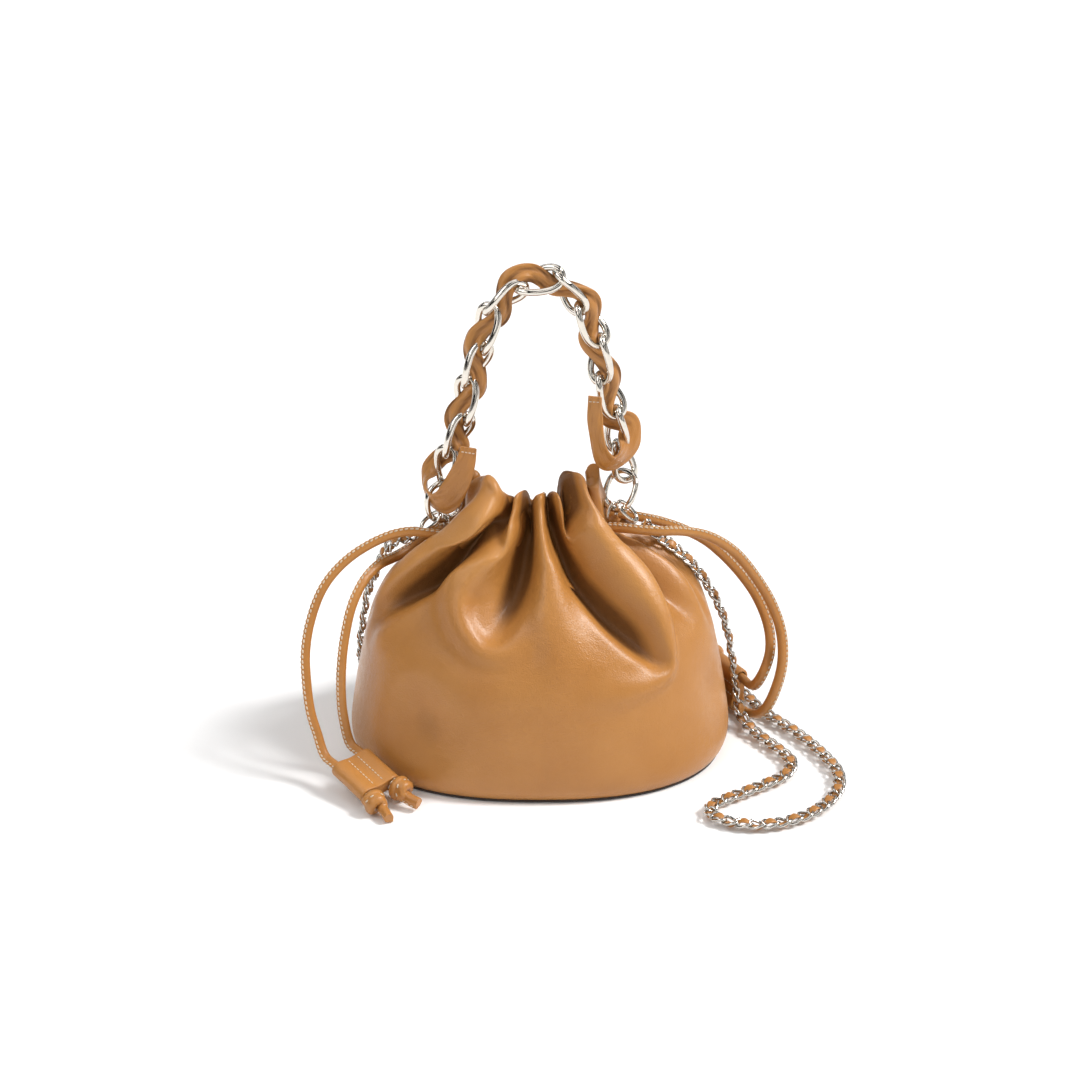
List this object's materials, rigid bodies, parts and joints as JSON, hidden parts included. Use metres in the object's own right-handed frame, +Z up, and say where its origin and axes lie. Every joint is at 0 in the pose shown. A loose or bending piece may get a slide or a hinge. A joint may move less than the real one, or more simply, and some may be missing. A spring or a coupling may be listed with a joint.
{
  "type": "bucket bag",
  "caption": "Gathered leather bucket bag with drawstring neck, sliders and knots, a ribbon-wound chain top handle and a long woven chain strap.",
  "frame": {"origin": "centre of the flat base, on the surface that the bag stands on", "axes": "+Z up through the neck and the handle, +X along the wide side, -Y toward the front"},
  "size_m": [0.3087, 0.2275, 0.2858],
  "materials": {
    "tan_leather": "smooth, soft satin sheen",
    "lining_cloth": "matt woven",
    "base_board": "matt",
    "polished_metal": "polished, pale warm silver",
    "woven_chain": "polished chain woven with leather"
  },
  "bodies": {
    "bag": {"back_panel": "tan_leather", "base_board": "base_board", "base_panel": "tan_leather", "drawcord_left_channel": "tan_leather", "drawcord_right_channel": "tan_leather", "front_panel": "tan_leather", "keeper_left": "polished_metal", "keeper_right": "polished_metal", "left_cord_back": "tan_leather", "left_cord_front": "tan_leather", "left_knot_back": "tan_leather", "left_knot_front": "tan_leather", "lining": "lining_cloth", "right_cord_back": "tan_leather", "right_cord_front": "tan_leather", "right_knot_back": "tan_leather", "right_knot_front": "tan_leather", "rim_facing": "tan_leather", "strap_chain": "woven_chain", "strap_ring_left": "polished_metal", "strap_ring_right": "polished_metal", "tab_left": "tan_leather", "tab_right": "tan_leather"},
    "handle": {"handle_link_01": "polished_metal", "handle_link_02": "polished_metal", "handle_link_03": "polished_metal", "handle_link_04": "polished_metal", "handle_link_05": "polished_metal", "handle_link_06": "polished_metal", "handle_link_07": "polished_metal", "handle_link_08": "polished_metal", "handle_link_09": "polished_metal", "handle_link_10": "polished_metal", "handle_link_11": "polished_metal", "handle_link_12": "polished_metal", "handle_link_13": "polished_metal", "handle_ribbon": "tan_leather"},
    "ring_left": {"ring_left": "polished_metal"},
    "ring_right": {"ring_right": "polished_metal"},
    "slider_left": {"slider_left": "tan_leather"},
    "slider_right": {"slider_right": "tan_leather"}
  },
  "joints": [
    {"name": "ring_left_swing", "type": "hinge", "parent": "bag", "child": "ring_left", "pos_m": [-0.05309, 0, 0.13714], "axis": [0.9978, -0.0037, 0.0661], "range_deg": [-8, 8]},
    {"name": "ring_right_swing", "type": "hinge", "parent": "bag", "child": "ring_right", "pos_m": [0.0416, -0.00035, 0.14341], "axis": [0.9978, -0.0037, 0.0661], "range_deg": [-8, 8]},
    {"name": "handle_fold", "type": "hinge", "parent": "ring_left", "child": "handle", "pos_m": [-0.05491, 0, 0.15986], "axis": [0.9964, 0.0798, 0.0299], "range_deg": [-50, 50]},
    {"name": "slider_left_slide", "type": "slide", "parent": "bag", "child": "slider_left", "axis": [-0.6447, 0.7252, 0.2417], "range_m": [0, 0.008]},
    {"name": "slider_right_slide", "type": "slide", "parent": "bag", "child": "slider_right", "axis": [0.4592, -0.8884, 0], "range_m": [0, 0.008]}
  ],
  "couplings": [
    {"joint": "ring_right_swing", "follows": "ring_left_swing", "ratio": 1}
  ]
}
